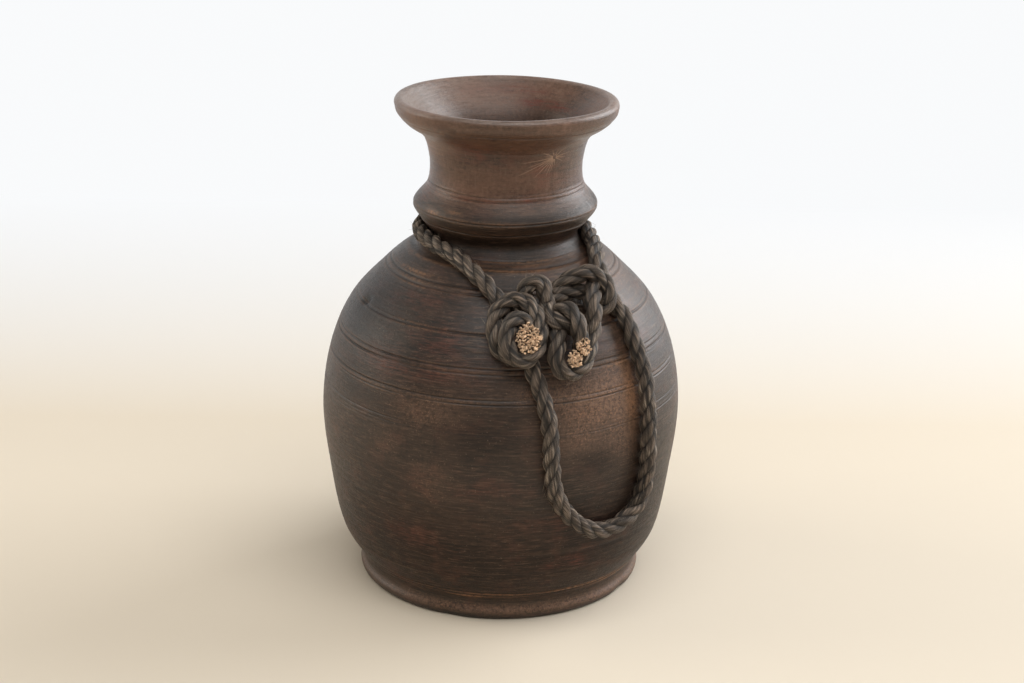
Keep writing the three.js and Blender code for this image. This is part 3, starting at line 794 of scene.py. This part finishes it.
def wear_jar(profile, azimuth, shade, ridge, star, dents):
    """How much of each coat, mark, stain, painted shade and painted light the jar has at each
    point, 0 to 1.
    """
    radius, height, _, _, surface = (column[:, None] for column in profile.T)
    angle = np.radians(azimuth)
    on_wall = surface == ON_WALL
    inner = surface == INNER

    def marked(marks):
        """Soft spots over the jar."""
        return mark_field(marks, azimuth, height, radius)

    in_mouth = smoothstep(height, *MOUTH_RANGE)
    # Inside the mouth: painted light where it faces the right lamp, painted shade where it turns
    # away and further down
    facing_right = 0.5 - 0.5 * np.sin(angle)
    shaded = 0.25 + 0.55 * (1 - smoothstep(height, *MOUTH_SHADE_RANGE))
    inner_shade = np.maximum(1 - smoothstep(height, *DEEP_RANGE), shaded * (1 - 0.75 * facing_right))
    edges = (0.18 * band(height, station_height(COLLAR), 1.6)
             + 0.2 * band(height, station_height(FOOT_BEAD) + 1, 2.2) + 0.9 * ridge)
    patch = 0.5 + 0.5 * np.sin(3 * angle + 0.9) * np.sin(7 * angle + height / 9)
    values = {
        "neck": smoothstep(height, *NECK_COAT_RANGE),
        "low": (1 - smoothstep(height, *LOW_COAT_RANGE)) * smoothstep(height, *FOOT_COAT_RANGE),
        # Painted shade in the turned lines
        "groove_shade": np.where(on_wall, 0.8 * shade, 0),
        "red": np.where(inner, marked(INSIDE_RED_MARKS) * in_mouth, marked(RED_MARKS)),
        "tan": np.where(on_wall, marked(TAN_MARKS) + edges * patch, 0),
        # Pale marks: worn patches, with a painted sheen on the right shoulder and a painted
        # highlight round the foot bead
        "pale": np.where(on_wall, marked(PALE_AND_HIGHLIGHT_MARKS), 0),
        # Soot on the wall with painted shade in the dents; inside, painted shade
        "soot_and_shade": np.where(on_wall, marked(SOOT_AND_SHADE_MARKS) + 0.3 * dents, inner_shade * inner),
        # Inside, painted light where the mouth faces the right lamp over a little dust; on the lip,
        # dust and a painted highlight
        "dust_and_light": np.where(inner, in_mouth * (0.02 + 0.8 * facing_right ** 3.4),
                         0.45 * band(height, *LIP_EDGE) * (surface == ON_LIP)),
        "scratch": np.where(on_wall, 0.9 * star, 0),
    }
    return {key: np.clip(numbers + 0 * angle, 0, 1) for key, numbers in values.items()}


def make_jar(material):
    """The turned jar in one piece, with its lines, dents, lean and worn places."""
    lines = turned_lines()
    profile = jar_profile(lines)
    azimuth = side_angles()[None, :]
    points, *marks = shape_jar(lines, profile, azimuth)
    values = wear_jar(profile, azimuth, *marks)
    faces = ring_faces(*points.shape[:2])
    jar = mesh_piece("turned_jar", points.reshape(-1, 3), faces, material, values)
    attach(jar, "jar")
    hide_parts("jar_body")


# Rope
def resample(points, step):
    """Points at an even distance along a line."""
    along = lengths_along(points)
    count = int(round(along[-1] / step)) + 1
    even = np.linspace(0, along[-1], count)
    return np.stack([np.interp(even, along, points[:, axis]) for axis in range(3)], axis=1), even


def carried_frames(path):
    """Tangent, and two directions across it that turn no more than the line does."""
    tangents = unit(np.gradient(path, axis=0))
    normals = [unit(np.cross(tangents[0], FIRST_SIDE))]
    for tangent in tangents[1:]:
        normals.append(unit(normals[-1] - tangent * np.dot(normals[-1], tangent)))
    normals = np.array(normals)
    return tangents, normals, np.cross(tangents, normals)


def rope_section():
    """Angles round a three-strand rope, with the strand, the radius and the angle in it at each."""
    angles = np.arange(ROPE_SIDES) * math.tau / ROPE_SIDES - math.pi / 3
    third = math.tau / 3
    in_strand = (angles + math.pi / 3) % third - math.pi / 3
    strand = np.floor((angles + math.pi / 3) / third)
    outline = (STRAND_OFFSET * np.cos(in_strand)
               + np.sqrt(STRAND_RADIUS ** 2 - (STRAND_OFFSET * np.sin(in_strand)) ** 2))
    around = np.arctan2(outline * np.sin(in_strand), outline * np.cos(in_strand) - STRAND_OFFSET)
    return angles, strand, outline, around


def kept_share(value, least):
    """Value from 0 to 1 brought to the range from the least to 1."""
    return least + (1 - least) * value


def rope_rings(route):
    """Rings of a three-strand rope along a route, with its line, its lengths and its relief."""
    path, along = resample(smooth_curve(route, ROUTE_STEPS), ROPE_STEP)
    tangents, normals, sideways = carried_frames(path)
    angles, strand, outline, around = rope_section()
    length = along[:, None]
    twist = math.tau * length / ROPE_LAY
    counter = twist * (STRAND_OFFSET + STRAND_RADIUS) / STRAND_RADIUS
    count = YARNS * (around + counter) / math.tau
    yarn = np.floor(count)
    crest = np.sin(math.pi * (count - yarn)) ** 0.8
    tones = np.random.default_rng(ROPE_SEED).random(YARN_TONES)
    tone = tones[(yarn + TONES_APART * strand).astype(int) % YARN_TONES]
    tone = np.clip(tone + 0.25 * np.sin(length / 6.1 + 2.3 * yarn), 0, 1)
    uneven = 1 + 0.03 * np.sin(length / 9.3 + 2 * strand) + 0.02 * np.sin(length / 3.7)
    radius = outline * uneven - YARN_DEPTH * (1 - crest) - SUNK_YARN * (1 - tone)
    turned = angles[None, :] + twist
    rings = (path[:, None, :] + (radius * np.cos(turned))[..., None] * normals[:, None, :]
             + (radius * np.sin(turned))[..., None] * sideways[:, None, :])
    # Painted shade in the grooves between the strands and between the yarns, times the dull yarns'
    # tone
    crown = (outline - outline.min()) / (outline.max() - outline.min())
    relief = (kept_share(crown ** 0.7, GROOVE_KEEPS) * kept_share(crest ** 1.8, YARN_KEEPS)
              * kept_share(tone, DULL_KEEPS))
    across = (around + counter) * STRAND_RADIUS * MM + strand * STRANDS_APART
    lengthwise = np.repeat(length * MM, ROPE_SIDES, axis=1)
    return {"rings": rings, "path": path, "along": along, "tangents": tangents,
            "values": {"relief": relief, "across": across, "along": lengthwise}}


def rope_piece(name, rope, material, first=0, last=None):
    """Object for the stretch of a rope between two of its rings."""
    rings = rope["rings"][first:last]
    values = {key: numbers[first:last] for key, numbers in rope["values"].items()}
    return mesh_piece(name, rings.reshape(-1, 3), ring_faces(*rings.shape[:2]), material, values)


def on_wood(route):
    """Points of a route over the wood."""
    return [strand_point(*place) for place in route]


def on_knot(knot, route):
    """Points of a route round a knot."""
    return [knot_point(knot, *place) for place in route]


def make_sling(material):
    """The long rope, round the neck, down the right side and round the loop, laid in two pieces
    that meet on the right strand.
    """
    route = LEFT_TUCK + NECK_ROUTE + RIGHT_STRAND_ROUTE + LOOP_ROUTE[::-1] + LOOP_TUCK
    rope = rope_rings(on_wood(route))
    middle = strand_point(*RIGHT_STRAND_ROUTE[2])
    split = int(np.argmin(np.linalg.norm(rope["path"] - middle, axis=1)))

    neck = rope_piece("neck_rope_laid", rope, material, 0, split + 1)
    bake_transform(neck)
    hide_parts("neck_rope", "right_strand")

    loop = rope_piece("carry_loop_laid", rope, material, split)
    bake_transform(loop)
    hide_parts("carry_loop")
    return rope, split, neck, loop


def make_tied(node, route, material):
    """A tied stretch of the rope that moves with the knots."""
    rope = rope_rings(route)
    piece = rope_piece(node + "_laid", rope, material)
    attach(piece, "knot_tie")
    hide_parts(node)
    return piece, rope


# Chips of a cut end; their sides are shares of their size
CHIP_SPACING = 0.95
CHIP_STRAY = 0.4
CHIP_SIZE = (0.6, 1.1)
CHIP_WIDTH = (0.7, 1.25)
CHIP_BREADTH = (0.6, 1.0)
CHIP_STRETCH = (1, 1.7)
CHIP_ROUGH = (-0.45, 0.3)
CHIP_DEPTH = (-0.8, 0.5)
CHIP_LEAN = 0.6
CHIP_TONE = (0.42, 1)
DARK_CHIPS = 0.1
DARK_TONE = 0.05
# Clump of chips, as shares of its half width: the ragged edge, the dome and the dark core below,
# which paints the shade between the chips
CLUMP_EDGE = (0.88, 1.04)
CLUMP_DOME = 0.22
DOME_REACH = 1.15
CORE_DEPTH = 0.75
CORE_SIZE = 0.6
LEFT_END_SEED = 21
RIGHT_END_SEED = 22


def torn_chip(mesh, middle, axis, size, draw):
    """One torn chip of fibre: a small angular lump that stands along its axis."""
    lump = bmesh.ops.create_icosphere(mesh, subdivisions=1, radius=1)["verts"]
    turn = Vector((0, 0, 1)).rotation_difference(Vector(axis)).to_matrix()
    spin = Matrix.Rotation(draw.uniform(0, math.tau), 3, "Z")
    width = size * draw.uniform(*CHIP_WIDTH)
    breadth = size * draw.uniform(*CHIP_BREADTH)
    stretch = Vector((width, breadth, size * draw.uniform(*CHIP_STRETCH)))
    for vertex in lump:
        rough = 1 + draw.uniform(*CHIP_ROUGH)
        local = Vector(a * b for a, b in zip(vertex.co * rough, stretch))
        vertex.co = turn @ (spin @ local) + Vector(middle)
    return lump


def add_clump(mesh, knot, place, half_size, draw):
    """Torn pale chips on a dark core that paints the shade between them, at one place of a knot;
    gives each point's tone.
    """
    across, upward, off = place
    half_width, half_height = half_size
    base = knot_point(knot, across, upward, off)
    facing = knot_point(knot, across, upward, off + 1) - base
    side = knot_point(knot, across + 1, upward, off) - base
    above = np.cross(facing, side)
    sunk = base - facing * half_width * CORE_DEPTH
    core = torn_chip(mesh, sunk, facing, half_width * CORE_SIZE, draw)
    tones = [0] * len(core)
    for column in np.arange(-half_width, half_width + CHIP_SPACING, CHIP_SPACING):
        for row in np.arange(-half_height, half_height + CHIP_SPACING, CHIP_SPACING):
            right = column + draw.uniform(-CHIP_STRAY, CHIP_STRAY)
            up = row + draw.uniform(-CHIP_STRAY, CHIP_STRAY)
            reach = math.hypot(right / half_width, up / half_height)
            if reach > draw.uniform(*CLUMP_EDGE):
                continue
            dome = half_width * CLUMP_DOME * math.sqrt(max(0, 1 - (reach / DOME_REACH) ** 2))
            middle = base + side * right + above * up + facing * (dome + draw.uniform(*CHIP_DEPTH))
            lean = facing + side * draw.uniform(-CHIP_LEAN, CHIP_LEAN)
            lean = lean + above * draw.uniform(-CHIP_LEAN, CHIP_LEAN)
            size = draw.uniform(*CHIP_SIZE)
            chip = torn_chip(mesh, middle, unit(lean), size, draw)
            tone = DARK_TONE if draw.random() < DARK_CHIPS else draw.uniform(*CHIP_TONE)
            tones += [tone] * len(chip)
    return tones


def make_cut_end(node, knot, places, half_size, seed, material):
    """Frayed cut end, with one clump of torn chips at each place."""
    draw = random.Random(seed)
    mesh = bmesh.new()
    tones = []
    for place in places:
        tones += add_clump(mesh, knot, place, half_size, draw)
    mesh.verts.index_update()
    points = [tuple(vertex.co) for vertex in mesh.verts]
    faces = [tuple(vertex.index for vertex in face.verts) for face in mesh.faces]
    mesh.free()
    piece = mesh_piece(node + "_frayed", points, faces, material, {"tone": tones}, smooth=False)
    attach(piece, "knot_tie")
    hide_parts(node)
    return piece


# Stray hairs of the rope
HAIR_SPACING = 1.6
HAIR_LENGTH = (4, 10)
HAIR_RADIUS = 0.08
HAIR_THINS = 0.7
HAIR_STEPS = 5
HAIR_ROOT = 0.3
HAIR_RISE = (0.15, 0.6)
HAIR_SWERVE = (-0.5, 0.5)
HAIR_CURL = (-0.12, 0.1)
HAIR_TURN = (-0.15, 0.15)
NECK_HAIR_SEED = 31
LOOP_HAIR_SEED = 32
TIED_HAIR_SEED = 33


def make_hairs(name, body, rope, first, last, seed, material):
    """Stray fibres that stand off a stretch of rope."""
    draw = random.Random(seed)
    count = int((rope["along"][last - 1] - rope["along"][first]) / HAIR_SPACING)
    points = []
    faces = []
    for _ in range(count):
        ring = draw.randrange(first + 2, last - 2)
        start = rope["rings"][ring, draw.randrange(ROPE_SIDES)]
        outward = unit(start - rope["path"][ring])
        along = rope["tangents"][ring] * draw.choice((-1, 1))
        across = np.cross(outward, along)
        heading = along + outward * draw.uniform(*HAIR_RISE) + across * draw.uniform(*HAIR_SWERVE)
        curl = outward * draw.uniform(*HAIR_CURL) + across * draw.uniform(*HAIR_TURN)
        length = draw.uniform(*HAIR_LENGTH)
        place = start - outward * HAIR_ROOT
        for step in range(HAIR_STEPS):
            thin = HAIR_RADIUS * (1 - HAIR_THINS * step / (HAIR_STEPS - 1))
            for corner in range(3):
                bearing = corner * math.tau / 3
                spoke = outward * math.cos(bearing) + across * math.sin(bearing)
                points.append(place + spoke * thin)
            heading = heading + curl
            place = place + unit(heading) * length / (HAIR_STEPS - 1)
        base = len(points) - 3 * HAIR_STEPS
        faces += [tuple(base + index for index in face) for face in ring_faces(HAIR_STEPS, 3)]
    piece = mesh_piece(name, points, faces, material)
    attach(piece, body)


def make_rope():
    """Every stretch of the rope, with its cut ends and stray fibres."""
    laid = rope_material()
    fibre = fibre_material()
    hair = hair_material()
    sling, split, neck, loop = make_sling(laid)
    routes = {
        "left_knot": on_knot(LEFT_KNOT, LEFT_KNOT_ROUTE),
        "right_knot": on_knot(RIGHT_KNOT, RIGHT_KNOT_ROUTE),
        "cross_strand": on_wood(CROSS_ROUTE),
        "hitch_turn": on_wood(HITCH_ROUTE),
    }
    tied = {node: make_tied(node, route, laid) for node, route in routes.items()}
    left_end = make_cut_end("left_cut_end", LEFT_KNOT, [LEFT_CUT],
                            LEFT_CUT_SIZE, LEFT_END_SEED, fibre)
    right_end = make_cut_end("right_cut_end", RIGHT_KNOT, RIGHT_CUTS,
                             RIGHT_CUT_SIZE, RIGHT_END_SEED, fibre)

    path = sling["path"]

    bend = np.dot(path, SLING_OUTWARD)
    ring_first = int(np.argmax(bend < KNOT_BEND[0]))
    ring_last = split - int(np.argmax(bend[:split][::-1] < KNOT_BEND[0]))
    make_hairs("neck_rope_hairs", "neck_sling", sling, ring_first, ring_last, NECK_HAIR_SEED, hair)
    low = np.nonzero(path[:, 2] < LOOP_BEND[1])[0]
    make_hairs("carry_loop_hairs", "loop", sling, int(low[0]), int(low[-1]), LOOP_HAIR_SEED, hair)
    for seed, (node, (_, rope)) in enumerate(tied.items(), TIED_HAIR_SEED):
        make_hairs(node + "_hairs", "knot_tie", rope, 0, len(rope["path"]), seed, hair)


# Stage, in metres
FLOOR_FRONT = -6.0
FLOOR_BACK = 1.5
SWEEP_RADIUS = 0.7
SWEEP_STEPS = 17
SWEEP_HEIGHT = 2.6
SWEEP_HALF_WIDTH = 5.0
# Distances over which the floor turns white: behind the jar, and all round it
WHITE_RANGE = (0.25, 0.9)
ROUND_RANGE = (0.9, 1.9)
FLOOR_COLOUR = (0.745, 0.66, 0.54, 1)
BACKDROP_COLOUR = (0.86, 0.86, 0.86, 1)
GLOW_COLOUR = (0.95, 0.96, 0.97, 1)
WORLD_COLOUR = (1.0, 0.97, 0.92, 1)
WORLD_STRENGTH = 0.23
# Lamps: name, place, target, size, power in watts and colour
LAMPS = (
    ("overhead_panel", (0.25, -0.7, 1.6), (0, 0, 0.16), (1.6, 1.3), 19, (1, 0.985, 0.96)),
    ("right_window", (2.2, 0.95, 1.2), (0, 0, 0.18), (2.2, 1.8), 70, (0.96, 0.98, 1)),
    ("left_window", (-2, 0.3, 0.9), (0, 0, 0.16), (1.2, 1.2), 17, (1, 0.94, 0.83)))


def sweep_material():
    """Pale warm paper that turns white behind the jar and far from it."""
    material, tree, shader, coords = new_material("pale_paper")
    depth = add_node(tree, "ShaderNodeSeparateXYZ", {0: coords}).outputs["Y"]
    far = remap(tree, depth, *WHITE_RANGE)
    colour = mix(tree, far, FLOOR_COLOUR, BACKDROP_COLOUR)
    set_inputs(tree, shader, {"Base Color": colour, "Roughness": 0.8})
    rays = add_node(tree, "ShaderNodeLightPath").outputs
    seen = math_node(tree, "MAXIMUM", rays["Is Camera Ray"], rays["Is Glossy Ray"])
    seen = math_node(tree, "MAXIMUM", seen, rays["Is Transmission Ray"])
    away = add_node(tree, "ShaderNodeVectorMath", {0: coords}, operation="LENGTH").outputs["Value"]
    around = times(tree, remap(tree, away, *ROUND_RANGE), rays["Is Camera Ray"])
    white = math_node(tree, "MAXIMUM", times(tree, far, seen), around)
    glow = add_node(tree, "ShaderNodeEmission", {"Color": GLOW_COLOUR, "Strength": 1.0})
    both = add_node(tree, "ShaderNodeMixShader", {
        0: white, 1: shader.outputs[0], 2: glow.outputs[0]})
    set_inputs(tree, tree.nodes["Material Output"], {"Surface": both.outputs[0]})
    return material


def make_stage():
    """Floor that sweeps up into a backdrop behind the jar."""
    line = [(FLOOR_FRONT, 0), (FLOOR_BACK, 0)]
    for angle in np.linspace(0, math.pi / 2, SWEEP_STEPS)[1:]:
        line.append((FLOOR_BACK + SWEEP_RADIUS * math.sin(angle),
                     SWEEP_RADIUS * (1 - math.cos(angle))))
    line.append((FLOOR_BACK + SWEEP_RADIUS, SWEEP_HEIGHT))
    points = [(side * SWEEP_HALF_WIDTH / MM, y / MM, z / MM) for y, z in line for side in (-1, 1)]
    faces = [(2 * i, 2 * i + 1, 2 * i + 3, 2 * i + 2) for i in range(len(line) - 1)]
    mesh_piece("pale_sweep", points, faces, sweep_material())


def area_light(name, place, target, size, power, colour):
    """Soft rectangular lamp that faces a target."""
    lamp = bpy.data.lights.new(name, "AREA")
    lamp.shape = "RECTANGLE"
    lamp.size, lamp.size_y = size
    lamp.energy = power
    lamp.color = colour
    holder = bpy.data.objects.new(name, lamp)
    holder.location = place
    holder.rotation_euler = (Vector(target) - Vector(place)).to_track_quat("-Z", "Y").to_euler()
    bpy.context.collection.objects.link(holder)


def make_light():
    """Soft light from above, and a window-like panel at each side, the right one brighter."""
    world = bpy.data.worlds.new("soft_room")
    world.use_nodes = True
    sky = world.node_tree.nodes["Background"]
    set_inputs(world.node_tree, sky, {"Color": WORLD_COLOUR, "Strength": WORLD_STRENGTH})
    bpy.context.scene.world = world
    for lamp in LAMPS:
        area_light(*lamp)


make_camera()
make_rope()
make_jar(wood_material())
make_stage()
make_light()
bpy.context.scene.view_settings.view_transform = "Standard"
